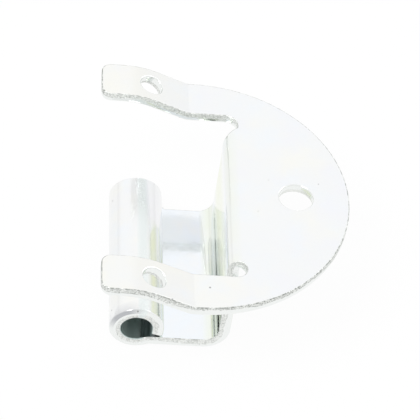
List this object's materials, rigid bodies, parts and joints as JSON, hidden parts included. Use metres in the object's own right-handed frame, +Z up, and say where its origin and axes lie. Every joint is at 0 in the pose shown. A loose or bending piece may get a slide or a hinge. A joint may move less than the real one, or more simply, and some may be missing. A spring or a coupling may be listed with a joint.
{
  "type": "dryer door hinge",
  "caption": "Pressed steel door hinge: a round-nosed plate with stepped screw arms and a folded tab rolled into a pin knuckle.",
  "frame": {"origin": "on the axis of the pin bore, midway between the two arms", "axes": "+X from the knuckle towards the nose of the plate, +Y along the pin bore, +Z up through the plate, away from the knuckle"},
  "size_m": [0.0475, 0.058, 0.0269],
  "materials": {
    "zinc_plated_steel": "bright zinc plating with a clear passivate"
  },
  "bodies": {
    "root": {"hinge_plate": "zinc_plated_steel"}
  },
  "joints": []
}
